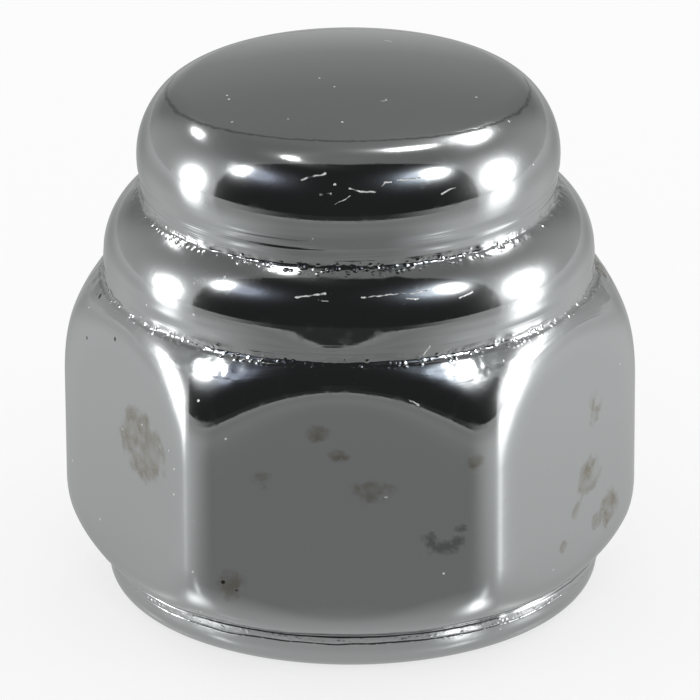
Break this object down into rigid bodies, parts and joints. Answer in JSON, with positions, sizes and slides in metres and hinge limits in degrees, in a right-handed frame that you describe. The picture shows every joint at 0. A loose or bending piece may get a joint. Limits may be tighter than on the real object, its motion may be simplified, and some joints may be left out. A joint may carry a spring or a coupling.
{
  "type": "cap nut",
  "caption": "Chromed hexagon cap nut, blind-tapped from below, with a round cap in two tiers under a low crown and a round foot.",
  "frame": {"origin": "centre of the foot's seating face, on the axis of the thread", "axes": "+Z along the axis of the thread, from the seating face up to the crown; flats face +Y and -Y, and an upright edge lies on +X and on -X"},
  "size_m": [0.019, 0.017, 0.0179],
  "materials": {
    "chromed_steel": "bright"
  },
  "bodies": {
    "root": {"cap_nut": "chromed_steel"}
  },
  "joints": []
}
